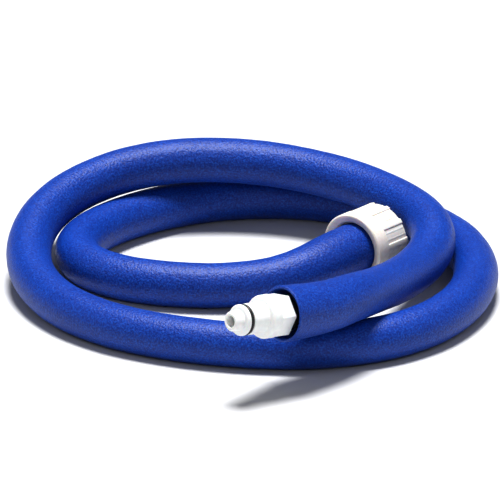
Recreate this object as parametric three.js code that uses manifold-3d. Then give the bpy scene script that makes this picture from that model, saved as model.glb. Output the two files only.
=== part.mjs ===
// Foam-covered feed hose for a pressure-driven pool cleaner, coiled about two and a quarter turns on
// a flat surface. One end carries a quick-connect plug, the other a swivel nut with a hose thread.
// Millimetres, +Z up, standing on z = 0 with the coil centred on the Z axis.
import * as THREE from "three";
import { mergeVertices } from "three/addons/utils/BufferGeometryUtils.js";
import Module from "manifold-3d";

// The run of the hose
const FOAM_RADIUS = 13.3;
const FOAM_BORE = 10;
const HOSE_RADIUS = 9.2;
const HOSE_BORE = 6.35;
const STEPS = 80;
const FOAM_SIDES = 12;
const HOSE_SIDES = 8;
const ROUTE_SHIFT = new THREE.Vector3(-0.05, -103.8, -0.39);

// The foam is stretched over the fittings: [distance from the end, outer radius, bore radius]
const MOUTH_FLARE = [[0, 16.6, 14.9], [19, 15.8, 11.7], [39, 15, 11.4], [58, 14.4, 10.4], [77, 13.9, 10], [97, 13.3, 10]];
const NUT_END_SWELL = [[0, 14.9, 11.6], [24, 14.9, 11.6], [39, 14.2, 10.7], [58, 13.6, 10], [77, 13.3, 10]];
// The hose's bore is opened out where it is pushed over a barb
const HOSE_OVER_BARB = [[0, HOSE_RADIUS, 8.1], [22, HOSE_RADIUS, 8.1], [40, HOSE_RADIUS, HOSE_BORE]];

// Plug, measured along its axis from the foam's mouth towards the tip
const HEX_ACROSS_FLATS = 23;
const HEX_TURN = THREE.MathUtils.degToRad(7.7);
const HEX_LENGTH = 10.4;
const BODY_RADIUS = 12.8;
const BODY_FRONT = 17;
const LAND_RADIUS = 9.2;
const GROOVE_BACK = 28.9;
const GROOVE_FRONT = 31.6;
const GROOVE_RADIUS = 6.9;
const NOSE_FLANGE_FRONT = 34;
const TIP_RADIUS = 5.9;
const TIP_FRONT = 40.3;
const WATER_BORE = 3.5;
const CHAMBER_RADIUS = 5.2;
const STEM_THREAD_RADIUS = 8.4;
const STEM_THREAD_DEPTH = 11;

// Swivel nut, measured along its axis from the foam's end towards the open end
const NUT_RADIUS = 21.1;
const NUT_BACK = -5;
const NUT_FRONT = 22.6;
const NUT_RIBS = 11;
const FIRST_RIB = THREE.MathUtils.degToRad(73.2);
const RIB_WIDTH = THREE.MathUtils.degToRad(9);
const RIB_HEIGHT = 0.8;
const RIBS_START = 5;
const SKIRT_BORE = 15.5;
const WEB_BACK = 2;
const WEB_FRONT = 6;
const WEB_BORE = 9.4;
const NUT_THREAD_RADIUS = 13.5;

// Fit and finish
const GAP = 0.3;
const ROUND = 30;

const wasm = await Module();
wasm.setup();

// The hose's centre line, from the foam's mouth at the plug to its end in the nut
const ROUTE_POINTS = [
  [17.2, -37, 47.4], [32, -23.6, 44.9], [46.5, -9.8, 43], [58, 6.5, 42], [70.5, 29.5, 37.4],
  [84.5, 66, 30], [96.3, 99, 26], [104.7, 123, 26.5], [108.3, 144, 30], [103.3, 168, 32.8],
  [88, 196, 34], [62.5, 222.5, 36.2], [32, 240, 38.6], [0, 248.3, 40.9], [-34, 249.3, 41.9],
  [-67, 242.5, 40.3], [-95.3, 227, 36], [-116.5, 204, 30.7], [-128.9, 175, 25.4], [-132.7, 144.5, 19.5],
  [-129, 113, 15.8], [-116.5, 78, 13.9], [-95, 48, 13.5], [-68, 26, 13.5], [-36, 11, 13.5],
  [0, 1.3, 13.5], [36, -0.7, 13.5], [69, 9.3, 13.5], [98, 29.5, 13.5], [119, 61.5, 13.5],
  [131.3, 101, 13.5], [133, 139, 13.5], [124.3, 180.5, 13.5], [103.7, 214.5, 13.5], [74, 244.5, 13.5],
  [39, 260, 13.5], [4, 264, 13.5], [-30.6, 256.5, 13.5], [-62.6, 236.6, 13.5], [-88.6, 210, 13.5],
  [-103.3, 181.3, 13.5], [-103.8, 153, 13.5], [-90.2, 128.7, 13.5], [-65.5, 112.3, 13.5],
  [-34.5, 104.8, 13.5], [-5.5, 105.2, 14], [19.5, 110, 16.6], [36.8, 120.8, 19.6], [49.7, 135.5, 21.6],
  [61.9, 150.7, 21.6],
].map(([x, y, z]) => new THREE.Vector3(x, y, z).add(ROUTE_SHIFT));

// A uniform cubic B-spline, which starts and ends on its first and last points and leaves them straight
class Route extends THREE.Curve {
  constructor(points) {
    super();
    const before = points[0].clone().multiplyScalar(2).sub(points[1]);
    const after = points.at(-1).clone().multiplyScalar(2).sub(points.at(-2));
    this.points = [before, ...points, after];
    this.arcLengthDivisions = 1200;
  }

  getPoint(t, target = new THREE.Vector3()) {
    const spans = this.points.length - 3;
    const first = Math.min(Math.floor(t * spans), spans - 1);
    const u = t * spans - first;
    const weights = [
      (1 - u) ** 3 / 6,
      (3 * u ** 3 - 6 * u ** 2 + 4) / 6,
      (-3 * u ** 3 + 3 * u ** 2 + 3 * u + 1) / 6,
      u ** 3 / 6,
    ];
    target.set(0, 0, 0);
    weights.forEach((weight, k) => target.addScaledVector(this.points[first + k], weight));
    return target;
  }
}

// The stretch of a curve between two distances along it
class Stretch extends THREE.Curve {
  constructor(curve, from, to) {
    super();
    const length = curve.getLength();
    Object.assign(this, { curve, from: from / length, to: to / length });
  }

  getPoint(t, target = new THREE.Vector3()) {
    return this.curve.getPointAt(THREE.MathUtils.lerp(this.from, this.to, t), target);
  }
}

// Reads the outer and bore radius from a table of [distance, outer, bore] rows
function radiiAt(table, distance) {
  const next = table.findIndex((row) => row[0] >= distance);
  if (next < 0) return table.at(-1).slice(1);
  if (next === 0) return table[0].slice(1);
  const [low, high] = [table[next - 1], table[next]];
  const share = (distance - low[0]) / (high[0] - low[0]);
  return [1, 2].map((column) => THREE.MathUtils.lerp(low[column], high[column], share));
}

// A hollow tube along a curve, drawn out at both ends to the radii in the two tables
function tubeAlong(path, sides, outer, bore, startTable, endTable) {
  const ring = (radius, turn) => Array.from({ length: sides }, (_, k) => {
    const angle = (turn * k * 2 * Math.PI) / sides;
    return new THREE.Vector2(radius * Math.cos(angle), radius * Math.sin(angle));
  });
  const section = new THREE.Shape(ring(outer, 1));
  section.holes.push(new THREE.Path(ring(bore, -1)));
  const geometry = new THREE.ExtrudeGeometry(section, { steps: STEPS, extrudePath: path });
  const stations = path.getSpacedPoints(STEPS);
  const length = path.getLength();
  const middle = (outer + bore) / 2;
  const position = geometry.attributes.position;
  const vertex = new THREE.Vector3();
  for (let i = 0; i < position.count; i++) {
    vertex.fromBufferAttribute(position, i);
    const distances = stations.map((station) => station.distanceToSquared(vertex));
    const nearest = distances.indexOf(Math.min(...distances));
    const along = (nearest / STEPS) * length;
    const table = along < length / 2 ? startTable : endTable;
    const [outerHere, boreHere] = radiiAt(table, Math.min(along, length - along));
    const offset = vertex.sub(stations[nearest]);
    offset.setLength(offset.length() > middle ? outerHere : boreHere).add(stations[nearest]);
    position.setXYZ(i, offset.x, offset.y, offset.z);
  }
  return geometry;
}

// A turned solid about local Z from [radius, z] corners, listed anticlockwise
function turned(profile, segments = ROUND) {
  const closed = [...profile, profile[0]].map(([radius, z]) => new THREE.Vector2(radius, z));
  return new THREE.LatheGeometry(closed, segments).rotateX(Math.PI / 2);
}

function washer(bore, radius, back, front) {
  return turned([[bore, back], [radius, back], [radius, front], [bore, front]]);
}

// A straight extrusion along local Z between two heights, with an optional round hole
function prism(corners, back, front, holeRadius = 0) {
  const outline = new THREE.Shape(corners);
  if (holeRadius > 0) outline.holes.push(new THREE.Path().absarc(0, 0, holeRadius, 0, 2 * Math.PI, true));
  const settings = { depth: front - back, bevelEnabled: false, curveSegments: ROUND / 2 };
  return new THREE.ExtrudeGeometry(outline, settings).translate(0, 0, back);
}

function solidFrom(geometry) {
  const bare = geometry.clone();
  bare.deleteAttribute("normal");
  bare.deleteAttribute("uv");
  const merged = mergeVertices(bare, 1e-4);
  const vertProperties = new Float32Array(merged.attributes.position.array);
  const triVerts = new Uint32Array(merged.index.array);
  return new wasm.Manifold(new wasm.Mesh({ numProp: 3, vertProperties, triVerts }));
}

function geometryFrom(solid) {
  const mesh = solid.getMesh();
  const geometry = new THREE.BufferGeometry();
  geometry.setAttribute("position", new THREE.BufferAttribute(mesh.vertProperties, 3));
  geometry.setIndex(new THREE.BufferAttribute(mesh.triVerts, 1));
  geometry.computeVertexNormals();
  return geometry;
}

function named(name, geometry, color, roughness, metalness = 0) {
  const material = new THREE.MeshStandardMaterial({ color, roughness, metalness });
  const mesh = new THREE.Mesh(geometry, material);
  mesh.name = name;
  return mesh;
}

// A group at an end of the hose, with local Z out along the hose's line and local Y upwards
function endGroup(origin, towards) {
  const out = origin.clone().sub(towards).normalize();
  const side = new THREE.Vector3(0, 0, 1).cross(out).normalize();
  const up = out.clone().cross(side);
  const group = new THREE.Group();
  group.setRotationFromMatrix(new THREE.Matrix4().makeBasis(side, up, out));
  group.position.copy(origin);
  return group;
}

const route = new Route(ROUTE_POINTS);

// Foam float sleeve and the hose inside it
const HOSE_SETBACK_AT_PLUG = 4.4;
const HOSE_SETBACK_AT_NUT = 2.2;

function foamSleeve() {
  const geometry = tubeAlong(route, FOAM_SIDES, FOAM_RADIUS, FOAM_BORE, MOUTH_FLARE, NUT_END_SWELL);
  return named("foam_sleeve", geometry, 0x2346be, 0.85);
}

function feedHose() {
  const run = new Stretch(route, HOSE_SETBACK_AT_PLUG, route.getLength() - HOSE_SETBACK_AT_NUT);
  const geometry = tubeAlong(run, HOSE_SIDES, HOSE_RADIUS, HOSE_BORE, HOSE_OVER_BARB, HOSE_OVER_BARB);
  return named("feed_hose", geometry, 0xc9ccd0, 0.45);
}

// Quick-connect plug: hexagon, round body, O-ring land, nose flange and tip, bored right through
function plugBody() {
  const front = turned([
    [CHAMBER_RADIUS, STEM_THREAD_DEPTH], [STEM_THREAD_RADIUS, STEM_THREAD_DEPTH],
    [STEM_THREAD_RADIUS, HEX_LENGTH - 1], [11, HEX_LENGTH - 1], [11, HEX_LENGTH],
    [BODY_RADIUS, HEX_LENGTH], [BODY_RADIUS, BODY_FRONT - 1],
    [BODY_RADIUS - 0.9, BODY_FRONT], [LAND_RADIUS, BODY_FRONT], [LAND_RADIUS, GROOVE_BACK],
    [GROOVE_RADIUS, GROOVE_BACK], [GROOVE_RADIUS, GROOVE_FRONT], [LAND_RADIUS, GROOVE_FRONT],
    [LAND_RADIUS, NOSE_FLANGE_FRONT - 0.8], [LAND_RADIUS - 0.8, NOSE_FLANGE_FRONT],
    [TIP_RADIUS, NOSE_FLANGE_FRONT], [TIP_RADIUS, TIP_FRONT - 1], [TIP_RADIUS - 1, TIP_FRONT],
    [WATER_BORE, TIP_FRONT], [WATER_BORE, GROOVE_FRONT], [CHAMBER_RADIUS, BODY_FRONT + 8],
  ]);
  const corner = HEX_ACROSS_FLATS / 2 / Math.cos(Math.PI / 6);
  const hexagon = Array.from({ length: 6 }, (_, k) => {
    const angle = HEX_TURN + (k * Math.PI) / 3;
    return new THREE.Vector2(corner * Math.cos(angle), corner * Math.sin(angle));
  });
  const hex = prism(hexagon, 0, HEX_LENGTH, STEM_THREAD_RADIUS);
  return named("plug_body", geometryFrom(solidFrom(front).add(solidFrom(hex))), 0xf4f5f3, 0.35);
}

function plugORing() {
  const radius = (GROOVE_FRONT - GROOVE_BACK) / 2 - GAP / 2;
  const ring = new THREE.TorusGeometry(GROOVE_RADIUS + radius + 0.1, radius, 10, ROUND);
  return named("plug_o_ring", ring.translate(0, 0, (GROOVE_BACK + GROOVE_FRONT) / 2), 0x0c0c0d, 0.5);
}

// Threaded, barbed hose stem: collar behind the hexagon, thread into the plug, barb into the hose
const STEM_BORE = 4.6;
const STEM_COLLAR_RADIUS = 10.6;
const BARB_ROOT = 6;
const BARB_CREST = 6.6;
const BARB_PITCH = 5.5;
const BARB_COUNT = 3;

// Barbs from a shoulder back into the hose, as [radius, z] corners from the hose end forwards
function barbs(shoulder) {
  const steps = Array.from({ length: BARB_COUNT }, (_, k) => {
    const back = shoulder - 1 - (BARB_COUNT - k) * BARB_PITCH;
    return [[BARB_ROOT, back], [BARB_CREST, back + BARB_PITCH - 0.8], [BARB_CREST, back + BARB_PITCH - 0.4]];
  });
  return [...steps.flat(), [BARB_ROOT, shoulder - 1], [BARB_ROOT, shoulder]];
}

function plugStem() {
  const profile = turned([
    [STEM_BORE, -HOSE_SETBACK_AT_PLUG - 19], ...barbs(-HOSE_SETBACK_AT_PLUG + GAP),
    [STEM_COLLAR_RADIUS, -HOSE_SETBACK_AT_PLUG + GAP], [STEM_COLLAR_RADIUS, -GAP],
    [STEM_THREAD_RADIUS - GAP, -GAP], [STEM_THREAD_RADIUS - GAP, 8.4], [STEM_THREAD_RADIUS - 1, 9],
    [STEM_BORE, 9],
  ]);
  return named("plug_stem", profile, 0x26282b, 0.5);
}

function stemGasket() {
  const geometry = washer(CHAMBER_RADIUS, STEM_THREAD_RADIUS - GAP, 9 + GAP, STEM_THREAD_DEPTH - GAP);
  return named("stem_gasket", geometry, 0x1a1a1c, 0.7);
}

// Crimped ferrules: a thin sleeve with a lip turned in over the hose's end
const FERRULE_BORE = HOSE_RADIUS + 0.5;
const FERRULE_RADIUS = 10.5;
const FERRULE_LENGTH = 18;

function ferrule(name, front) {
  const back = front - FERRULE_LENGTH;
  return named(name, washer(FERRULE_BORE, FERRULE_RADIUS, back, front), 0xb9bcc0, 0.3, 1);
}

// Swivel nut: smooth collar with a dished skirt, ribbed grip, inner web and female hose thread
function ribbedOutline() {
  const valley = NUT_RADIUS - RIB_HEIGHT;
  const point = (radius, angle) => new THREE.Vector2(radius * Math.cos(angle), radius * Math.sin(angle));
  const pitch = (2 * Math.PI) / NUT_RIBS;
  return Array.from({ length: NUT_RIBS }, (_, k) => {
    const middle = FIRST_RIB + k * pitch;
    return [
      point(valley, middle - RIB_WIDTH * 0.75), point(NUT_RADIUS, middle - RIB_WIDTH / 2),
      point(NUT_RADIUS, middle + RIB_WIDTH / 2), point(valley, middle + RIB_WIDTH * 0.75),
      point(valley, middle + pitch / 2),
    ];
  }).flat();
}

function swivelNut() {
  const grip = prism(ribbedOutline(), RIBS_START, NUT_FRONT, NUT_THREAD_RADIUS);
  const collar = turned([
    [SKIRT_BORE, NUT_BACK + 4.5], [NUT_RADIUS - 1.4, NUT_BACK], [NUT_RADIUS - 0.6, NUT_BACK],
    [NUT_RADIUS, NUT_BACK + 0.8], [NUT_RADIUS, RIBS_START + 0.2], [NUT_THREAD_RADIUS + 3, WEB_FRONT],
    [WEB_BORE, WEB_FRONT], [WEB_BORE, WEB_BACK], [SKIRT_BORE, WEB_BACK],
  ]);
  const nut = solidFrom(grip).add(solidFrom(collar));
  return named("swivel_nut", geometryFrom(nut), 0xf1ede2, 0.4);
}

// Tailpiece: barb in the hose, neck through the nut's web, flange against the washer
const NECK_RADIUS = 9;
const NECK_BACK = -HOSE_SETBACK_AT_NUT + GAP;
const FLANGE_BACK = WEB_FRONT + GAP;
const FLANGE_FRONT = 9;
const TAILPIECE_BORE = 5;
const WASHER_THICKNESS = 2.8;

function nutTailpiece() {
  const profile = turned([
    [TAILPIECE_BORE, NECK_BACK - 19], ...barbs(NECK_BACK),
    [NECK_RADIUS, NECK_BACK], [NECK_RADIUS, FLANGE_BACK],
    [NUT_THREAD_RADIUS - 0.7, FLANGE_BACK], [NUT_THREAD_RADIUS - 0.7, FLANGE_FRONT],
    [TAILPIECE_BORE, FLANGE_FRONT],
  ]);
  return named("nut_tailpiece", profile, 0xe9eae6, 0.4);
}

function nutWasher() {
  const back = FLANGE_FRONT + GAP;
  const geometry = washer(8, NUT_THREAD_RADIUS - 0.4, back, back + WASHER_THICKNESS);
  return named("nut_washer", geometry, 0x222325, 0.75);
}

const plugEnd = endGroup(ROUTE_POINTS[0], ROUTE_POINTS[1]);
plugEnd.add(plugBody(), plugORing(), plugStem(), stemGasket());
plugEnd.add(ferrule("plug_ferrule", -HOSE_SETBACK_AT_PLUG));

const nutEnd = endGroup(ROUTE_POINTS.at(-1), ROUTE_POINTS.at(-2));
nutEnd.add(swivelNut(), nutTailpiece(), nutWasher());
nutEnd.add(ferrule("nut_ferrule", NECK_BACK - GAP));

const feedHoseAssembly = new THREE.Group();
feedHoseAssembly.add(foamSleeve(), feedHose(), plugEnd, nutEnd);

export default feedHoseAssembly;
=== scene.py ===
import math

import bmesh
import bpy
import numpy as np
from mathutils import Matrix, Vector, noise


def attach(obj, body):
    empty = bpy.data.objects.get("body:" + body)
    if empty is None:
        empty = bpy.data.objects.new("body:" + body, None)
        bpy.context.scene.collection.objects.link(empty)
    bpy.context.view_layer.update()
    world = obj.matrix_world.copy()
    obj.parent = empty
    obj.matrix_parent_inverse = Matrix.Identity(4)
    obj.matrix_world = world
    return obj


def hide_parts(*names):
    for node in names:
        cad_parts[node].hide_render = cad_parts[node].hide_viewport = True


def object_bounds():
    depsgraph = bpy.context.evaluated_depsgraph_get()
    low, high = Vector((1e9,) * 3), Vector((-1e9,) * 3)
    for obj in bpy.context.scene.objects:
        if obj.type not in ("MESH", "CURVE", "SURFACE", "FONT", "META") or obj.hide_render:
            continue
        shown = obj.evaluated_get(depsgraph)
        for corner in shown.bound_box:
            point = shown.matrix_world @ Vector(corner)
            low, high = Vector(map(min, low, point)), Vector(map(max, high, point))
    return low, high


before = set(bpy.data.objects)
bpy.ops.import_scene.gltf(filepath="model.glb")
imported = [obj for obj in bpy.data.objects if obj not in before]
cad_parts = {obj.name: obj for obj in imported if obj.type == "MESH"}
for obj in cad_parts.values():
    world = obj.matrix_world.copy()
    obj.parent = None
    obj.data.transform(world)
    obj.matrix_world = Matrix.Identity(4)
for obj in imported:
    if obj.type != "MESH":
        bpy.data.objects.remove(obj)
cad_low, cad_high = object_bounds()

# Camera ---------------------------------------------------------------------------------------
# A very long lens from far off, looking down at the coil, so that the turns keep their true widths
# from front to back.
CAMERA_ELEVATION = math.radians(19.7)
CAMERA_DISTANCE = 11.0
VIEW_WIDTH = 0.2947
AIM = Vector((-0.0005, 0, 0.0354))

camera_data = bpy.data.cameras.new("long_lens")
camera_data.sensor_width = 36
camera_data.lens = camera_data.sensor_width * CAMERA_DISTANCE / VIEW_WIDTH
camera_data.clip_start = 0.1
camera_data.clip_end = 100
camera = bpy.data.objects.new("long_lens", camera_data)
bpy.context.scene.collection.objects.link(camera)
camera_back = Vector((0, -math.cos(CAMERA_ELEVATION), math.sin(CAMERA_ELEVATION)))
camera.location = AIM + camera_back * CAMERA_DISTANCE
camera.rotation_euler = (math.pi / 2 - CAMERA_ELEVATION, 0, 0)
bpy.context.scene.camera = camera

# Foam float sleeve ----------------------------------------------------------------------------
# A royal blue tube of extruded closed-cell foam, slid over the whole hose so that it floats. Its
# mouth is stretched over the plug's hexagon, and its other end swells over the crimped ferrule.
FOAM_RADIUS = 0.0133
FOAM_BORE = 0.010
MOUTH_FLARE = 0.0033
MOUTH_FLARE_LENGTH = 0.097
MOUTH_FLARE_CURVE = 1.3
MOUTH_LIP = 0.0008
MOUTH_BORE = [(0, 0.0149), (0.019, 0.0117), (0.039, 0.0114), (0.058, 0.0104), (0.077, FOAM_BORE)]
NUT_END_SWELL = 0.0016
NUT_END_STRAIGHT = 0.024
NUT_END_TAPER = 0.053
NUT_END_LIP = 0.0012
NUT_END_BORE = [(0, 0.0116), (0.024, 0.0116), (0.039, 0.0107), (0.058, FOAM_BORE)]
FOAM_SIDES = 80
FOAM_STEP = 0.0021
FOAM_BORE_STEP = 0.009
FOAM_UNEVENNESS = 0.00016
LUMPS_PER_METRE, DIMPLES_PER_METRE, DIMPLE_SHARE = 45, 170, 0.6
FLOOR_GAP = 0.00005
ROUTE_SHIFT = Vector((-0.00005, -0.1038, -0.00039))
ROUTE_POINTS = [
    (0.0172, -0.037, 0.0474), (0.032, -0.0236, 0.0449), (0.0465, -0.0098, 0.043),
    (0.058, 0.0065, 0.042), (0.0705, 0.0295, 0.0374), (0.0845, 0.066, 0.03), (0.0963, 0.099, 0.026),
    (0.1047, 0.123, 0.0265), (0.1083, 0.144, 0.03), (0.1033, 0.168, 0.0328), (0.088, 0.196, 0.034),
    (0.0625, 0.2225, 0.0362), (0.032, 0.24, 0.0386), (0, 0.2483, 0.0409), (-0.034, 0.2493, 0.0419),
    (-0.067, 0.2425, 0.0403), (-0.0953, 0.227, 0.036), (-0.1165, 0.204, 0.0307),
    (-0.1289, 0.175, 0.0254), (-0.1327, 0.1445, 0.0195), (-0.129, 0.113, 0.0158),
    (-0.1165, 0.078, 0.0139), (-0.095, 0.048, 0.0135), (-0.068, 0.026, 0.0135), (-0.036, 0.011, 0.0135),
    (0, 0.0013, 0.0135), (0.036, -0.0007, 0.0135), (0.069, 0.0093, 0.0135), (0.098, 0.0295, 0.0135),
    (0.119, 0.0615, 0.0135), (0.1313, 0.101, 0.0135), (0.133, 0.139, 0.0135), (0.1243, 0.1805, 0.0135),
    (0.1037, 0.2145, 0.0135), (0.074, 0.2445, 0.0135), (0.039, 0.26, 0.0135), (0.004, 0.264, 0.0135),
    (-0.0306, 0.2565, 0.0135), (-0.0626, 0.2366, 0.0135), (-0.0886, 0.21, 0.0135),
    (-0.1033, 0.1813, 0.0135), (-0.1038, 0.153, 0.0135), (-0.0902, 0.1287, 0.0135),
    (-0.0655, 0.1123, 0.0135), (-0.0345, 0.1048, 0.0135), (-0.0055, 0.1052, 0.014),
    (0.0195, 0.11, 0.0166), (0.0368, 0.1208, 0.0196), (0.0497, 0.1355, 0.0216), (0.0619, 0.1507, 0.0216),
]
route_points = [Vector(point) + ROUTE_SHIFT for point in ROUTE_POINTS]


def spline_line(points, per_span=40):
    """A dense line along the uniform cubic B-spline that starts and ends straight, on its end points."""
    controls = np.array([2 * points[0] - points[1], *points, 2 * points[-1] - points[-2]])
    t = np.linspace(0, 1, per_span, endpoint=False)[:, None]
    weights = [(1 - t) ** 3, 3 * t**3 - 6 * t**2 + 4, -3 * t**3 + 3 * t**2 + 3 * t + 1, t**3]
    spans = [
        sum(weight * controls[first + k] for k, weight in enumerate(weights)) / 6
        for first in range(len(controls) - 3)
    ]
    return np.vstack([*spans, controls[-2]])


class Route:
    """The hose's centre line by distance along it, with a frame that doesn't twist."""

    def __init__(self, line):
        self.line = line
        self.along = np.concatenate([[0], np.cumsum(np.linalg.norm(np.diff(line, axis=0), axis=1))])
        self.length = float(self.along[-1])
        self.ahead = np.gradient(line, self.along, axis=0)
        self.ahead /= np.linalg.norm(self.ahead, axis=1)[:, None]
        side = np.cross(self.ahead[0], (0, 0, 1))
        sides = []
        for ahead in self.ahead:
            side = side - ahead * (side @ ahead)
            side = side / np.linalg.norm(side)
            sides.append(side)
        self.side = np.array(sides)

    def read(self, table, distance):
        """A table's values at a distance along the line, read between its rows."""
        return np.stack([np.interp(distance, self.along, table[:, k]) for k in range(3)], axis=-1)

    def rings(self, distances, radii, sides):
        """One ring of points for each distance and radius, as an array of rings by sides by 3."""
        centre = self.read(self.line, distances)[:, None, :]
        ahead = self.read(self.ahead, distances)
        side = self.read(self.side, distances)
        up = np.cross(side, ahead)
        turn = np.arange(sides) * 2 * np.pi / sides
        around = side[:, None, :] * np.cos(turn)[:, None] + up[:, None, :] * np.sin(turn)[:, None]
        return centre + around * np.asarray(radii)[:, None, None]


def closed_shell(name, rings):
    """A closed shell from rings of points, joined in order with the last ring back to the first."""
    count, sides = rings.shape[:2]
    ring, side = np.meshgrid(np.arange(count), np.arange(sides), indexing="ij")
    next_ring, next_side = (ring + 1) % count, (side + 1) % sides
    corners = [ring * sides + side, next_ring * sides + side,
               next_ring * sides + next_side, ring * sides + next_side]
    mesh = bpy.data.meshes.new(name)
    mesh.from_pydata(rings.reshape(-1, 3).tolist(), [], np.stack(corners, -1).reshape(-1, 4).tolist())
    work = bmesh.new()
    work.from_mesh(mesh)
    bmesh.ops.recalc_face_normals(work, faces=work.faces)
    work.to_mesh(mesh)
    work.free()
    mesh.shade_smooth()
    piece = bpy.data.objects.new(name, mesh)
    bpy.context.scene.collection.objects.link(piece)
    return piece


def lip(low, high, inner, outer, steps=6):
    """A half-round edge from radius outer at the distance low, out to high and back to radius inner."""
    middle, half = (outer + inner) / 2, (outer - inner) / 2
    turns = np.linspace(0, np.pi, steps * 2 + 1)[1:-1]
    return low + (high - low) * np.sin(turns), middle + half * np.cos(turns)


def foam_outer(distance):
    """The foam's outer radius: wider at the plug's hexagon, and swollen over the ferrule at the nut."""
    to_end = route.length - distance
    flare = MOUTH_FLARE * np.clip(1 - distance / MOUTH_FLARE_LENGTH, 0, 1) ** MOUTH_FLARE_CURVE
    swell = np.clip((NUT_END_STRAIGHT + NUT_END_TAPER - to_end) / NUT_END_TAPER, 0, 1)
    return FOAM_RADIUS + flare + NUT_END_SWELL * swell**2 * (3 - 2 * swell)


def foam_bore(distance):
    """The foam's inner radius, opened up over the fitting at each end."""
    to_end = route.length - distance
    at_mouth = np.interp(distance, *zip(*MOUTH_BORE))
    at_nut = np.interp(to_end, *zip(*NUT_END_BORE))
    return np.maximum(at_mouth, at_nut)


route = Route(spline_line(route_points))
outside = np.arange(MOUTH_LIP, route.length - NUT_END_LIP, FOAM_STEP)
inside = np.linspace(route.length - NUT_END_LIP, MOUTH_LIP, round(route.length / FOAM_BORE_STEP))
nut_lip = lip(route.length - NUT_END_LIP, route.length, NUT_END_BORE[0][1], foam_outer(route.length))
mouth_lip = lip(MOUTH_LIP, 0, MOUTH_BORE[0][1], foam_outer(0.0))
foam_distances = np.concatenate([outside, nut_lip[0], inside, mouth_lip[0][::-1]])
foam_radii = np.concatenate([foam_outer(outside), nut_lip[1], foam_bore(inside), mouth_lip[1][::-1]])
foam_rings = route.rings(foam_distances, foam_radii, FOAM_SIDES)
foam_centres = route.read(route.line, foam_distances)
for ring, centre in zip(foam_rings[:len(outside)], foam_centres):
    for point in ring:
        outward = (point - centre) / np.linalg.norm(point - centre)
        lump = noise.noise(Vector(point) * LUMPS_PER_METRE)
        lump += DIMPLE_SHARE * noise.noise(Vector(point) * DIMPLES_PER_METRE)
        point += outward * FOAM_UNEVENNESS * lump
foam_rings[:, :, 2] = np.maximum(foam_rings[:, :, 2], FLOOR_GAP)
foam = closed_shell("float_foam", foam_rings)


def material_of(name, **constants):
    """A new material whose Principled BSDF has the given constant inputs."""
    material = bpy.data.materials.new(name)
    material.use_nodes = True
    for socket, value in constants.items():
        material.node_tree.nodes["Principled BSDF"].inputs[socket.replace("_", " ")].default_value = value
    return material


def node(tree, kind, inputs=None, **settings):
    """A new node with its settings and inputs: an input is a constant, or another node's output."""
    made = tree.nodes.new(kind)
    for key, value in settings.items():
        setattr(made, key, value)
    for key, value in (inputs or {}).items():
        if isinstance(value, bpy.types.NodeSocket):
            tree.links.new(value, made.inputs[key])
        else:
            made.inputs[key].default_value = value
    return made


def ramp(tree, factor, stops):
    """A colour ramp through (place, colour) stops, read at factor."""
    made = node(tree, "ShaderNodeValToRGB", {"Fac": factor})
    for element, (place, colour) in zip(made.color_ramp.elements, (stops[0], stops[-1])):
        element.position, element.color = place, (*colour, 1)
    for place, colour in stops[1:-1]:
        made.color_ramp.elements.new(place).color = (*colour, 1)
    return made.outputs["Color"]


def mixed(tree, factor, low, high, blend="MIX"):
    """A mix of two colours by factor."""
    made = node(tree, "ShaderNodeMix", data_type="RGBA", blend_type=blend)
    for index, value in ((0, factor), (6, low), (7, high)):
        if isinstance(value, bpy.types.NodeSocket):
            tree.links.new(value, made.inputs[index])
        else:
            made.inputs[index].default_value = value if index == 0 else (*value, 1)
    return made.outputs[2]


def spread_over(tree, value, low, high):
    """A value between 0 and 1 brought to the range from low to high."""
    made = node(tree, "ShaderNodeMapRange", {"Value": value, "To Min": low, "To Max": high})
    return made.outputs["Result"]


def surface_group(name, inputs, outputs):
    """An empty shader group with float inputs and outputs, and its two end nodes."""
    tree = bpy.data.node_groups.new(name, "ShaderNodeTree")
    for title, value in inputs.items():
        tree.interface.new_socket(title, in_out="INPUT", socket_type="NodeSocketFloat").default_value = value
    for title in outputs:
        tree.interface.new_socket(title, in_out="OUTPUT", socket_type="NodeSocketFloat")
    return tree, tree.nodes.new("NodeGroupInput"), tree.nodes.new("NodeGroupOutput")


def grain_group():
    """Fine grain on every surface here: small cells, a softer mottle, and slow drift over the piece."""
    tree, given, out = surface_group(
        "surface_grain",
        {"Cells per Metre": 900.0, "Mottle per Metre": 1400.0, "Drift per Metre": 30.0},
        ["Cells", "Mottle", "Drift"],
    )
    place = node(tree, "ShaderNodeTexCoord").outputs["Object"]
    cells = node(tree, "ShaderNodeTexVoronoi", {
        "Vector": place, "Scale": given.outputs["Cells per Metre"], "Randomness": 1.0,
    }, feature="SMOOTH_F1")
    mottle = node(tree, "ShaderNodeTexNoise", {
        "Vector": place, "Scale": given.outputs["Mottle per Metre"], "Detail": 3.0, "Roughness": 0.6,
    })
    drift = node(tree, "ShaderNodeTexNoise", {
        "Vector": place, "Scale": given.outputs["Drift per Metre"], "Detail": 2.0,
    })
    tree.links.new(cells.outputs["Distance"], out.inputs["Cells"])
    tree.links.new(mottle.outputs["Fac"], out.inputs["Mottle"])
    tree.links.new(drift.outputs["Fac"], out.inputs["Drift"])
    return tree


surface_grain = grain_group()
FOAM_SHADOW = (0.001, 0.023, 0.20)
FOAM_BLUE = (0.001, 0.046, 0.33)
FOAM_LIGHT = (0.007, 0.094, 0.48)
FOAM_DULLED, FOAM_CLEAN = (0.84, 0.84, 0.88), (1, 1, 1)
FOAM_SHEEN_TINT = (0.75, 0.8, 1, 1)
FOAM_ROUGHNESS = (0.38, 0.52)
FOAM_CELLS_PER_METRE, FOAM_MOTTLE_PER_METRE = 700.0, 1000.0
FOAM_CELL_SHARE = 0.8
FOAM_SKIN_STRENGTH, FOAM_SKIN_DEPTH = 0.5, 0.0006


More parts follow.
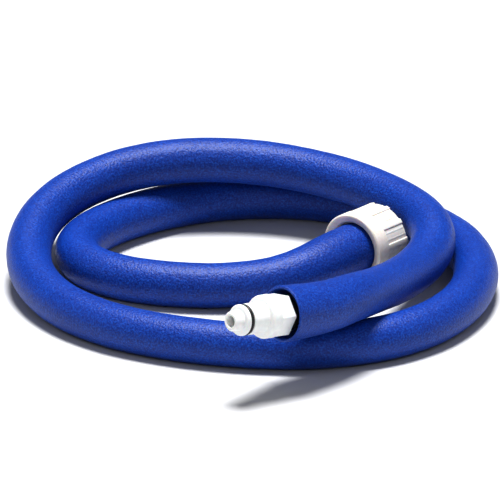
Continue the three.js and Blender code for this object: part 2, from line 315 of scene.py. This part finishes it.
def foam_material():
    """Matt blue foam: three blues mixed by a fine mottle, dulled in slow patches, over a cellular skin."""
    made = material_of(
        "royal_blue_foam", Specular_IOR_Level=0.40, Sheen_Weight=0.02, Sheen_Roughness=0.4,
        Sheen_Tint=FOAM_SHEEN_TINT,
    )
    tree = made.node_tree
    grain = node(tree, "ShaderNodeGroup", {
        "Cells per Metre": FOAM_CELLS_PER_METRE, "Mottle per Metre": FOAM_MOTTLE_PER_METRE,
    }, node_tree=surface_grain)
    cells, mottle, drift = (grain.outputs[name] for name in ("Cells", "Mottle", "Drift"))
    colour = ramp(tree, mottle, [(0.34, FOAM_SHADOW), (0.50, FOAM_BLUE), (0.66, FOAM_LIGHT)])
    shade = ramp(tree, drift, [(0.30, FOAM_DULLED), (0.70, FOAM_CLEAN)])
    colour = mixed(tree, 1.0, colour, shade, "MULTIPLY")
    raised = spread_over(tree, cells, 0.0, FOAM_CELL_SHARE)
    height = node(tree, "ShaderNodeMath", {0: raised, 1: mottle}, operation="ADD").outputs[0]
    bump = node(tree, "ShaderNodeBump", {
        "Strength": FOAM_SKIN_STRENGTH, "Distance": FOAM_SKIN_DEPTH, "Height": height,
    })
    shader = tree.nodes["Principled BSDF"]
    tree.links.new(colour, shader.inputs["Base Color"])
    tree.links.new(spread_over(tree, mottle, *FOAM_ROUGHNESS), shader.inputs["Roughness"])
    tree.links.new(bump.outputs["Normal"], shader.inputs["Normal"])
    return made


foam.data.materials.append(foam_material())
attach(foam, "root")
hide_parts("foam_sleeve")

# Feed hose ------------------------------------------------------------------------------------
# A grey flexible PVC hose with a bonded braid in its wall, which carries the water inside the foam.
# It is cut square and pushed over a barb at each end.
HOSE_RADIUS = 0.0092
HOSE_BORE = 0.00635
HOSE_BORE_ON_BARB = 0.0078
BARB_STRETCH = 0.022
BARB_TAPER = 0.018
HOSE_SETBACK_AT_PLUG = 0.0044
HOSE_SETBACK_AT_NUT = 0.0022
HOSE_SIDES = 48
HOSE_STEP = 0.004
HOSE_EDGE = 0.0004
HOSE_GREY, HOSE_DARK_GREY = (0.62, 0.64, 0.66), (0.50, 0.52, 0.54)
SQUARE_CUT = math.radians(50)
SKIN_STRENGTH = 0.35
DARK_UP_TO, COLOUR_FROM = 0.08, 0.42

hose_from = HOSE_SETBACK_AT_PLUG
hose_to = route.length - HOSE_SETBACK_AT_NUT


def hose_bore(distance):
    """The hose's inner radius, stretched over the barbs at each end."""
    to_end = np.minimum(distance - hose_from, hose_to - distance)
    stretch = np.clip(1 - (to_end - BARB_STRETCH) / BARB_TAPER, 0, 1)
    return HOSE_BORE + (HOSE_BORE_ON_BARB - HOSE_BORE) * stretch


hose_out = np.linspace(hose_from + HOSE_EDGE, hose_to - HOSE_EDGE, round(route.length / HOSE_STEP))
hose_distances = np.concatenate([[hose_from], hose_out, [hose_to, hose_to], hose_out[::-1], [hose_from]])
hose_radii = np.concatenate([
    [HOSE_RADIUS - HOSE_EDGE], np.full(len(hose_out), HOSE_RADIUS), [HOSE_RADIUS - HOSE_EDGE],
    [HOSE_BORE_ON_BARB], hose_bore(hose_out[::-1]), [HOSE_BORE_ON_BARB],
])
hose = closed_shell("water_hose", route.rings(hose_distances, hose_radii, HOSE_SIDES))
hose.data.set_sharp_from_angle(angle=SQUARE_CUT)


def plain_material(
    name, colour, dark, roughness, skin_depth, cells=700.0, mottle=500.0, drift=60.0, **constants
):
    """A moulded or extruded surface: one colour that drifts towards a darker one, with a fine skin."""
    made = material_of(name, **constants)
    tree = made.node_tree
    grain = node(tree, "ShaderNodeGroup", {
        "Cells per Metre": cells, "Mottle per Metre": mottle, "Drift per Metre": drift,
    }, node_tree=surface_grain)
    shade = node(tree, "ShaderNodeMath", {
        0: grain.outputs["Mottle"], 1: grain.outputs["Drift"],
    }, operation="MULTIPLY").outputs[0]
    bump = node(tree, "ShaderNodeBump", {
        "Strength": SKIN_STRENGTH, "Distance": skin_depth, "Height": grain.outputs["Mottle"],
    })
    shader = tree.nodes["Principled BSDF"]
    tone = ramp(tree, shade, [(DARK_UP_TO, dark), (COLOUR_FROM, colour)])
    tree.links.new(tone, shader.inputs["Base Color"])
    tree.links.new(spread_over(tree, grain.outputs["Drift"], *roughness), shader.inputs["Roughness"])
    tree.links.new(bump.outputs["Normal"], shader.inputs["Normal"])
    return made


hose_material = plain_material(
    "grey_pvc", HOSE_GREY, HOSE_DARK_GREY, roughness=(0.38, 0.55), skin_depth=0.0002,
)
hose.data.materials.append(hose_material)
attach(hose, "root")
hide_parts("feed_hose")

# Plug body ------------------------------------------------------------------------------------
# One white injection moulding: a spanner hexagon, a round body, the land that slides into the
# socket, the O-ring's groove, a nose flange and a tip, with the water's bore right through.
MILLIMETRE = 0.001
HEX_ACROSS_FLATS = 23
HEX_CORNER = HEX_ACROSS_FLATS / 2 / math.cos(math.pi / 6)
HEX_CORNER_ROUNDING = 0.22
HEX_TURN = math.radians(7.7)
HEX_LENGTH = 10.4
BODY_RADIUS = 12.8
LAND_RADIUS = 9.2
GROOVE_RADIUS = 6.9
GROOVE_BACK, GROOVE_FRONT = 28.9, 31.6
TIP_RADIUS = 5.9
TIP_FRONT, FLANGE_FRONT, BODY_FRONT = 40.3, 34, 17
CHAMFER = 0.9
WATER_BORE = 3.5
SOCKET_RADIUS, SOCKET_DEPTH = 8.4, 11
GASKET_BORE = 5.2
PLUG_SIDES = 144
PLUG_EDGE = 0.35
PLUG_PROFILE = [
    (WATER_BORE, TIP_FRONT), (TIP_RADIUS - CHAMFER, TIP_FRONT), (TIP_RADIUS, TIP_FRONT - 1),
    (TIP_RADIUS, FLANGE_FRONT), (LAND_RADIUS - CHAMFER, FLANGE_FRONT), (LAND_RADIUS, FLANGE_FRONT - CHAMFER),
    (LAND_RADIUS, GROOVE_FRONT), (GROOVE_RADIUS, GROOVE_FRONT), (GROOVE_RADIUS, GROOVE_BACK),
    (LAND_RADIUS, GROOVE_BACK), (LAND_RADIUS, BODY_FRONT), (11.3, BODY_FRONT), (12.3, 16.4),
    (BODY_RADIUS, 15.2), (BODY_RADIUS, HEX_LENGTH), (HEX_CORNER, HEX_LENGTH), (HEX_CORNER, 0),
    (SOCKET_RADIUS, 0), (SOCKET_RADIUS, SOCKET_DEPTH), (GASKET_BORE, SOCKET_DEPTH), (GASKET_BORE, 25),
    (WATER_BORE, GROOVE_FRONT),
]
HEX_FROM_RADIUS = BODY_RADIUS + 0.1
HAIR = 0.01
ROUNDING_SHARE = 0.45
MOULDED_EDGE = math.radians(38)
WHITE, SHADED_WHITE = (0.88, 0.89, 0.88), (0.80, 0.82, 0.82)


def end_place(at, towards):
    """The frame of a fitting at a hose end: Z out along the hose's line, Y upwards."""
    out = (at - towards).normalized()
    side = Vector((0, 0, 1)).cross(out).normalized()
    axes = Matrix((side, out.cross(side), out)).transposed().to_4x4()
    return Matrix.Translation(at) @ axes @ Matrix.Scale(MILLIMETRE, 4)


def rounded(profile, rounding, steps=3):
    """A closed profile with each corner turned into a small curve."""
    points = []
    for before, corner, after in zip(profile[-1:] + profile[:-1], profile, profile[1:] + profile[:1]):
        corner = Vector(corner)
        back, ahead = Vector(before) - corner, Vector(after) - corner
        start = corner + back.normalized() * min(rounding, back.length * ROUNDING_SHARE)
        end = corner + ahead.normalized() * min(rounding, ahead.length * ROUNDING_SHARE)
        for t in np.linspace(0, 1, steps + 1):
            points.append(start * (1 - t) ** 2 + corner * 2 * t * (1 - t) + end * t**2)
    return [tuple(point) for point in points]


def turned(name, profile, place, sides=96, first=0.0, radius_at=None):
    """A turned or moulded piece from a closed (radius, height) profile in millimetres."""
    angles = first + np.arange(sides) * 2 * np.pi / sides
    rings = []
    for radius, height in profile:
        ring = []
        for angle in angles:
            reach = radius_at(radius, height, angle) if radius_at else radius
            ring.append(place @ Vector((reach * math.cos(angle), reach * math.sin(angle), height)))
        rings.append(ring)
    piece = closed_shell(name, np.array(rings))
    piece.data.set_sharp_from_angle(angle=MOULDED_EDGE)
    return piece


def finished(piece, material, body, cad_node):
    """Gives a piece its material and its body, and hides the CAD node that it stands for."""
    piece.data.materials.append(material)
    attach(piece, body)
    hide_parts(cad_node)
    return piece


def hexagon(radius, height, angle):
    """Flattens the profile's widest part into the spanner hexagon, with slightly rounded corners."""
    if radius < HEX_FROM_RADIUS or height > HEX_LENGTH + HAIR:
        return radius
    from_flat = (angle - HEX_TURN) % (math.pi / 3) - math.pi / 6
    flat = HEX_ACROSS_FLATS / 2 / math.cos(from_flat)
    return min(flat, HEX_CORNER - HEX_CORNER_ROUNDING) - (HEX_CORNER - radius)


plug_place = end_place(route_points[0], route_points[1])
plug_outline = rounded(PLUG_PROFILE, PLUG_EDGE)
plug = turned("plug_moulding", plug_outline, plug_place, PLUG_SIDES, HEX_TURN, hexagon)
white_plastic = plain_material(
    "white_moulded_plastic", WHITE, SHADED_WHITE, roughness=(0.30, 0.42), skin_depth=0.00008,
    Subsurface_Weight=0.12, Subsurface_Scale=0.002,
)
finished(plug, white_plastic, "root", "plug_body")

# Plug O-ring ----------------------------------------------------------------------------------
# A black nitrile ring that lies stretched in its groove behind the nose flange. It seals the plug
# in the socket.
O_RING_SECTION_RADIUS = 1.2
O_RING_CLEARANCE = 0.05
O_RING_CENTRE = GROOVE_RADIUS + O_RING_SECTION_RADIUS + O_RING_CLEARANCE
O_RING_STEPS = 24
RUBBER_BLACK, RUBBER_DEEP_BLACK = (0.012, 0.012, 0.014), (0.006, 0.006, 0.007)


def ring_section(radius, centre, height, steps):
    """A round section as a closed profile."""
    turns = np.arange(steps) * 2 * math.pi / steps
    return [(centre + radius * math.cos(t), height + radius * math.sin(t)) for t in turns]


o_ring_height = (GROOVE_BACK + GROOVE_FRONT) / 2
o_ring_profile = ring_section(O_RING_SECTION_RADIUS, O_RING_CENTRE, o_ring_height, O_RING_STEPS)
plug_seal = turned("plug_seal_ring", o_ring_profile, plug_place)
black_rubber = plain_material(
    "black_rubber", RUBBER_BLACK, RUBBER_DEEP_BLACK, roughness=(0.35, 0.5), skin_depth=0.0001,
)
finished(plug_seal, black_rubber, "root", "plug_o_ring")

# Plug stem, gasket and crimped ferrule --------------------------------------------------------
# The stem's barbs hold in the hose, its collar stops the hose, and its thread takes the plug,
# which pinches a flat gasket. The stainless ferrule is crimped round hose and barbs.
STEM_BORE = 4.6
STEM_SHOULDER, STEM_FRONT = -4.1, 9
STEM_COLLAR_RADIUS, STEM_COLLAR_FRONT = 10.6, -0.3
STEM_THREAD_RADIUS = 8.1
STEM_POINT = 0.9
FITTING_EDGE = 0.15
BARB_ROOT, BARB_CREST, BARB_PITCH, BARB_COUNT = 6.0, 6.6, 5.5, 3
BARB_SETBACK = 1
CREST_BACK, CREST_FRONT = 0.8, 0.4
TUBE_LENGTH_IN_HOSE = 18
FERRULE_BORE, FERRULE_RADIUS, FERRULE_LENGTH = 9.7, 10.5, 18
FERRULE_SETBACK = 0.3
FERRULE_ROWS = 55
CRIMP_DEPTH, CRIMP_PITCH = 0.35, 4.5
GASKET_BACK, GASKET_FRONT = 9.3, 10.7
GASKET_EDGE = 0.2
# The stem is coloured near black as painted shade: it darkens the gap seen between the plug's hexagon and
# the foam's mouth.
PAINTED_SHADE_BLACK, PAINTED_SHADE_DEEP_BLACK = (0.020, 0.021, 0.023), (0.012, 0.012, 0.013)
STEEL, DARK_STEEL = (0.62, 0.63, 0.64), (0.50, 0.51, 0.53)


def barbs(shoulder):
    """Saw-toothed barbs back from a shoulder, as profile corners from the hose end forwards."""
    corners = []
    for k in range(BARB_COUNT, 0, -1):
        back = shoulder - BARB_SETBACK - k * BARB_PITCH
        front = back + BARB_PITCH
        corners += [(BARB_ROOT, back), (BARB_CREST, front - CREST_BACK), (BARB_CREST, front - CREST_FRONT)]
    return corners + [(BARB_ROOT, shoulder - BARB_SETBACK), (BARB_ROOT, shoulder)]


def ferrule_profile(front):
    """A thin sleeve whose wall is pressed in at even crimps."""
    heights = np.linspace(front - FERRULE_LENGTH, front, FERRULE_ROWS)
    crimp = CRIMP_DEPTH * np.clip(np.cos(2 * np.pi * (heights - front) / CRIMP_PITCH + np.pi), 0, 1) ** 2
    wall = [(FERRULE_RADIUS - depth, height) for depth, height in zip(crimp, heights)]
    return wall + [(FERRULE_BORE, front), (FERRULE_BORE, front - FERRULE_LENGTH)]


stem_profile = [
    (STEM_BORE, STEM_SHOULDER - TUBE_LENGTH_IN_HOSE - STEM_POINT), *barbs(STEM_SHOULDER),
    (STEM_COLLAR_RADIUS, STEM_SHOULDER), (STEM_COLLAR_RADIUS, STEM_COLLAR_FRONT),
    (STEM_THREAD_RADIUS, STEM_COLLAR_FRONT), (STEM_THREAD_RADIUS, STEM_FRONT - 0.6),
    (STEM_THREAD_RADIUS - 0.7, STEM_FRONT), (STEM_BORE, STEM_FRONT),
]
stem = turned("plug_hose_stem", rounded(stem_profile, FITTING_EDGE, 2), plug_place)
# Painted shade: the stem's near-black colour stands in for the shadow in the foam's mouth behind the
# hexagon.
black_nylon = plain_material(
    "black_nylon", PAINTED_SHADE_BLACK, PAINTED_SHADE_DEEP_BLACK, roughness=(0.45, 0.6), skin_depth=0.0001,
)
finished(stem, black_nylon, "root", "plug_stem")

gasket_profile = rounded([
    (GASKET_BORE, GASKET_BACK), (STEM_THREAD_RADIUS, GASKET_BACK),
    (STEM_THREAD_RADIUS, GASKET_FRONT), (GASKET_BORE, GASKET_FRONT),
], GASKET_EDGE)
gasket = turned("plug_flat_gasket", gasket_profile, plug_place)
finished(gasket, black_rubber, "root", "stem_gasket")

steel = plain_material(
    "ferrule_steel", STEEL, DARK_STEEL, roughness=(0.22, 0.38), skin_depth=0.00005, Metallic=1.0,
)
plug_ferrule = turned("plug_crimp_sleeve", ferrule_profile(STEM_SHOULDER - FERRULE_SETBACK), plug_place)
finished(plug_ferrule, steel, "root", "plug_ferrule")

# Swivel nut -----------------------------------------------------------------------------------
# An ivory moulding that turns on the tailpiece. It has a smooth collar, dished where the foam
# goes in, a hand grip, and the hose thread inside.
NUT_RADIUS = 21.1
NUT_VALLEY = 20.35
NUT_BACK, NUT_FRONT = -5, 22.6
SKIRT_BORE = 15.5
WEB_BORE, WEB_BACK, WEB_FRONT = 9.4, 2, 6
COLLAR_FRONT, GRIP_BACK = 4.7, 5.5
THREAD_RADIUS = 13.4
THREAD_DEPTH = 0.95
THREAD_PITCH = 2.21
THREAD_FROM, THREAD_TO = 12.8, 21.4
THREAD_LEAD = 0.4
RIDGE_TOP, RIDGE_SLOPE = 1.35, 3.4
THREAD_RUN_OUT = 1.2
THREAD_ROWS = 44
NUT_RIB_COUNT = 11
SIDES_PER_RIB = 14
NUT_SIDES = NUT_RIB_COUNT * SIDES_PER_RIB
NUT_PROFILE = [
    (SKIRT_BORE, WEB_BACK), (SKIRT_BORE, -2.6), (16.4, -3.8), (19.2, NUT_BACK), (20.3, NUT_BACK),
    (NUT_RADIUS, -4.2), (NUT_RADIUS, COLLAR_FRONT), (NUT_VALLEY, GRIP_BACK),
    (NUT_VALLEY, NUT_FRONT - 0.4), (NUT_VALLEY - 0.5, NUT_FRONT),
    (THREAD_RADIUS + 1, NUT_FRONT), (THREAD_RADIUS, NUT_FRONT - 1),
    *[(THREAD_RADIUS, height) for height in np.linspace(THREAD_TO, THREAD_FROM - THREAD_LEAD, THREAD_ROWS)],
    (THREAD_RADIUS, WEB_FRONT), (WEB_BORE, WEB_FRONT), (WEB_BORE, WEB_BACK),
]
NUT_EDGE = 0.35
IVORY, SHADED_IVORY = (0.86, 0.835, 0.775), (0.80, 0.71, 0.60)


def in_thread(radius, height):
    """Whether a corner of the nut's profile is one of the thread's rows."""
    return radius == THREAD_RADIUS and THREAD_FROM - THREAD_LEAD - HAIR < height < THREAD_TO + HAIR


def hose_thread(radius, height, angle):
    """Raises the thread's ridge from the socket's wall, fading out at both ends."""
    if not in_thread(radius, height):
        return radius
    phase = (height / THREAD_PITCH - angle / (2 * math.pi)) % 1
    ridge = min(1.0, max(0.0, RIDGE_TOP - abs(phase - 0.5) * RIDGE_SLOPE))
    from_start, to_end = height - THREAD_FROM + THREAD_LEAD, THREAD_TO - height
    fade = min(1.0, from_start / THREAD_RUN_OUT, to_end / THREAD_RUN_OUT)
    return radius - THREAD_DEPTH * ridge * max(0.0, fade)


def nut_profile():
    """The nut's profile with its corners rounded, but with the thread's rows left as they are."""
    is_row = [in_thread(radius, height) for radius, height in NUT_PROFILE]
    first = is_row.index(True)
    last = len(is_row) - is_row[::-1].index(True)
    outside_thread = NUT_PROFILE[last:] + NUT_PROFILE[:first]
    return rounded(outside_thread, NUT_EDGE) + NUT_PROFILE[first:last]


nut_place = end_place(route_points[-1], route_points[-2])
nut = turned("nut_shell", nut_profile(), nut_place, NUT_SIDES, 0.0, hose_thread)
ivory_plastic = plain_material(
    "ivory_moulded_plastic", IVORY, SHADED_IVORY, roughness=(0.36, 0.50), skin_depth=0.00012,
    drift=45.0, Subsurface_Weight=0.35, Subsurface_Scale=0.003, Subsurface_Radius=(1.0, 0.6, 0.4),
)
finished(nut, ivory_plastic, "nut", "swivel_nut")

# Grip ribs ------------------------------------------------------------------------------------
# The nut's hand grip: eleven broad ribs moulded on its outside, almost flush with the collar, and
# two fine ones in every space between them. Every third fine rib lies inside a broad one.
BROAD_RIB_WIDTH = 3.3
BROAD_RIB_TOP = NUT_RADIUS - 0.1
BROAD_RIB_ROUNDING, FINE_RIB_ROUNDING = 0.6, 0.15
FINE_RIBS_PER_BROAD = 3
FINE_RIB_WIDTH = 1.1
FINE_RIB_TOP = NUT_VALLEY + 0.1
RIB_ROOT = 19.5
RIB_BACK = 4.2
FIRST_RIB = math.radians(73.2)


def ribs_tree():
    """A tree for straight bars with rounded edges, evenly round the Z axis between two heights."""
    tree = bpy.data.node_groups.new("ribs_round_a_barrel", "GeometryNodeTree")
    sockets = {
        "Count": "NodeSocketInt", "First Angle": "NodeSocketFloat", "Root Radius": "NodeSocketFloat",
        "Top Radius": "NodeSocketFloat", "Width": "NodeSocketFloat", "Back": "NodeSocketFloat",
        "Front": "NodeSocketFloat", "Edge Rounding": "NodeSocketFloat", "Material": "NodeSocketMaterial",
    }
    for title, kind in sockets.items():
        tree.interface.new_socket(title, in_out="INPUT", socket_type=kind)
    tree.interface.new_socket("Geometry", in_out="OUTPUT", socket_type="NodeSocketGeometry")
    given = tree.nodes.new("NodeGroupInput").outputs

    def maths(operation, first, second):
        return node(tree, "ShaderNodeMath", {0: first, 1: second}, operation=operation).outputs[0]

    thickness = maths("SUBTRACT", given["Top Radius"], given["Root Radius"])
    middle = maths("MULTIPLY", maths("ADD", given["Top Radius"], given["Root Radius"]), 0.5)
    section = node(tree, "GeometryNodeCurvePrimitiveQuadrilateral", {
        "Width": thickness, "Height": given["Width"],
    }).outputs[0]
    section = node(tree, "GeometryNodeFilletCurve", {
        "Curve": section, "Radius": given["Edge Rounding"], "Count": 3, "Limit Radius": True,
    }, mode="POLY").outputs[0]
    low = node(tree, "ShaderNodeCombineXYZ", {"Z": given["Back"]}).outputs[0]
    high = node(tree, "ShaderNodeCombineXYZ", {"Z": given["Front"]}).outputs[0]
    spine = node(tree, "GeometryNodeCurvePrimitiveLine", {"Start": low, "End": high}).outputs[0]
    bar = node(tree, "GeometryNodeCurveToMesh", {
        "Curve": spine, "Profile Curve": section, "Fill Caps": True,
    }).outputs[0]
    step = maths("DIVIDE", 2 * math.pi, given["Count"])
    index = node(tree, "GeometryNodeInputIndex").outputs[0]
    angle = maths("ADD", maths("MULTIPLY", index, step), given["First Angle"])
    across = maths("MULTIPLY", middle, maths("COSINE", angle, 0))
    up = maths("MULTIPLY", middle, maths("SINE", angle, 0))
    spot = node(tree, "ShaderNodeCombineXYZ", {"X": across, "Y": up}).outputs[0]
    turn = node(tree, "ShaderNodeCombineXYZ", {"Z": angle}).outputs[0]
    spots = node(tree, "GeometryNodePoints", {"Count": given["Count"], "Position": spot}).outputs[0]
    bars = node(tree, "GeometryNodeInstanceOnPoints", {
        "Points": spots, "Instance": bar, "Rotation": turn,
    }).outputs[0]
    solid = node(tree, "GeometryNodeRealizeInstances", {"Geometry": bars}).outputs[0]
    coated = node(tree, "GeometryNodeSetMaterial", {"Geometry": solid, "Material": given["Material"]})
    out = tree.nodes.new("NodeGroupOutput")
    tree.links.new(coated.outputs[0], out.inputs[0])
    return tree


def made_by(tree, name, place, **values):
    """The plain mesh that a Geometry Nodes tree makes from the given values, moved to its place."""
    holder = bpy.data.objects.new(name, bpy.data.meshes.new(name))
    bpy.context.scene.collection.objects.link(holder)
    modifier = holder.modifiers.new(name, "NODES")
    modifier.node_group = tree
    for item in tree.interface.items_tree:
        title = item.name.replace(" ", "_")
        if item.in_out == "INPUT" and title in values:
            modifier[item.identifier] = values[title]
    mesh = bpy.data.meshes.new_from_object(holder.evaluated_get(bpy.context.evaluated_depsgraph_get()))
    holder.modifiers.clear()
    mesh.transform(place)
    mesh.shade_smooth()
    mesh.set_sharp_from_angle(angle=SQUARE_CUT)
    holder.data = mesh
    return holder


rib_tree = ribs_tree()
rib_settings = {
    "Root_Radius": RIB_ROOT, "Back": RIB_BACK, "First_Angle": FIRST_RIB, "Material": ivory_plastic,
}
broad_ribs = made_by(
    rib_tree, "nut_grip_ribs", nut_place, Count=NUT_RIB_COUNT, Top_Radius=BROAD_RIB_TOP,
    Width=BROAD_RIB_WIDTH, Front=NUT_FRONT - 0.05, Edge_Rounding=BROAD_RIB_ROUNDING, **rib_settings,
)
fine_ribs = made_by(
    rib_tree, "nut_fine_ribs", nut_place, Count=NUT_RIB_COUNT * FINE_RIBS_PER_BROAD, Top_Radius=FINE_RIB_TOP,
    Width=FINE_RIB_WIDTH, Front=NUT_FRONT - 0.6, Edge_Rounding=FINE_RIB_ROUNDING, **rib_settings,
)
for ribs in (broad_ribs, fine_ribs):
    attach(ribs, "nut")

# Tailpiece, washer and crimped ferrule in the nut ---------------------------------------------
# The tailpiece's barbs hold in the hose and its flange keeps the nut on. A black rubber washer lies
# on the flange and seals against the tap's thread.
TAIL_SHOULDER, TAIL_FRONT = -1.9, 9.0
TAIL_BORE, TAIL_NECK_RADIUS = 5.0, 9.0
FLANGE_RADIUS, FLANGE_BACK = 12.8, 6.3
WASHER_BORE, WASHER_RADIUS = 8.0, 13.1
WASHER_BACK, WASHER_FRONT = 9.3, 12.1
WASHER_EDGE = 0.35

tailpiece_profile = [
    (TAIL_BORE, TAIL_SHOULDER - TUBE_LENGTH_IN_HOSE - STEM_POINT), *barbs(TAIL_SHOULDER),
    (TAIL_NECK_RADIUS, TAIL_SHOULDER), (TAIL_NECK_RADIUS, FLANGE_BACK), (FLANGE_RADIUS, FLANGE_BACK),
    (FLANGE_RADIUS, TAIL_FRONT), (TAIL_BORE, TAIL_FRONT),
]
tailpiece = turned("nut_tail_barb", rounded(tailpiece_profile, FITTING_EDGE, 2), nut_place)
finished(tailpiece, white_plastic, "root", "nut_tailpiece")

washer_profile = rounded([
    (WASHER_BORE, WASHER_BACK), (WASHER_RADIUS, WASHER_BACK),
    (WASHER_RADIUS, WASHER_FRONT), (WASHER_BORE, WASHER_FRONT),
], WASHER_EDGE)
washer = turned("nut_rubber_washer", washer_profile, nut_place)
finished(washer, black_rubber, "nut", "nut_washer")

nut_ferrule = turned("nut_crimp_sleeve", ferrule_profile(TAIL_SHOULDER - FERRULE_SETBACK), nut_place)
finished(nut_ferrule, steel, "root", "nut_ferrule")

# Floor and light ------------------------------------------------------------------------------
# A plain pale floor under a far, broad, even light from above and a little behind, with weaker
# soft lights at the left, the right and the front.
FLOOR_SIZE = 60.0
TOP_LIGHT_FROM = (0.0, 0.25, 2.6)
TOP_LIGHT_SPREAD = math.radians(20)
TOP_LIGHT_STRENGTH = 5.7
LEFT_WATTS, RIGHT_WATTS, FRONT_WATTS = 1.6, 1.2, 3.0
FLOOR_COLOUR = (0.60, 0.60, 0.605, 1)
ROOM_COLOUR = (0.93, 0.95, 1, 1)
ROOM_STRENGTH = 0.18
PICTURE_GAMMA = 0.82

floor_mesh = bpy.data.meshes.new("floor")
half = FLOOR_SIZE / 2
floor_corners = [(-half, -half, 0), (half, -half, 0), (half, half, 0), (-half, half, 0)]
floor_mesh.from_pydata(floor_corners, [], [(0, 1, 2, 3)])
floor = bpy.data.objects.new("floor", floor_mesh)
bpy.context.scene.collection.objects.link(floor)
floor_mesh.materials.append(material_of("pale_floor", Base_Color=FLOOR_COLOUR, Roughness=0.8))

cad_middle = (cad_low + cad_high) / 2


def soft_light(name, place, width, height, watts):
    """A rectangular soft light that faces the coil's middle."""
    data = bpy.data.lights.new(name, "AREA")
    data.shape, data.size, data.size_y, data.energy = "RECTANGLE", width, height, watts
    light = bpy.data.objects.new(name, data)
    light.location = place
    light.rotation_euler = (cad_middle - Vector(place)).to_track_quat("-Z", "Y").to_euler()
    bpy.context.scene.collection.objects.link(light)


top_light = bpy.data.lights.new("top_light", "SUN")
top_light.energy, top_light.angle = TOP_LIGHT_STRENGTH, TOP_LIGHT_SPREAD
top_lamp = bpy.data.objects.new("top_light", top_light)
top_lamp.rotation_euler = (-Vector(TOP_LIGHT_FROM)).to_track_quat("-Z", "Y").to_euler()
bpy.context.scene.collection.objects.link(top_lamp)
soft_light("left_light", (-1.1, -0.1, 0.6), width=0.5, height=0.6, watts=LEFT_WATTS)
soft_light("right_light", (1.1, 0.0, 0.6), width=0.5, height=0.6, watts=RIGHT_WATTS)
soft_light("front_light", (0.1, -1.3, 0.8), width=0.8, height=0.5, watts=FRONT_WATTS)

world = bpy.data.worlds.new("pale_room")
world.use_nodes = True
background = world.node_tree.nodes["Background"]
background.inputs["Color"].default_value = ROOM_COLOUR
background.inputs["Strength"].default_value = ROOM_STRENGTH
bpy.context.scene.world = world
bpy.context.scene.view_settings.view_transform = "Standard"
bpy.context.scene.view_settings.gamma = PICTURE_GAMMA
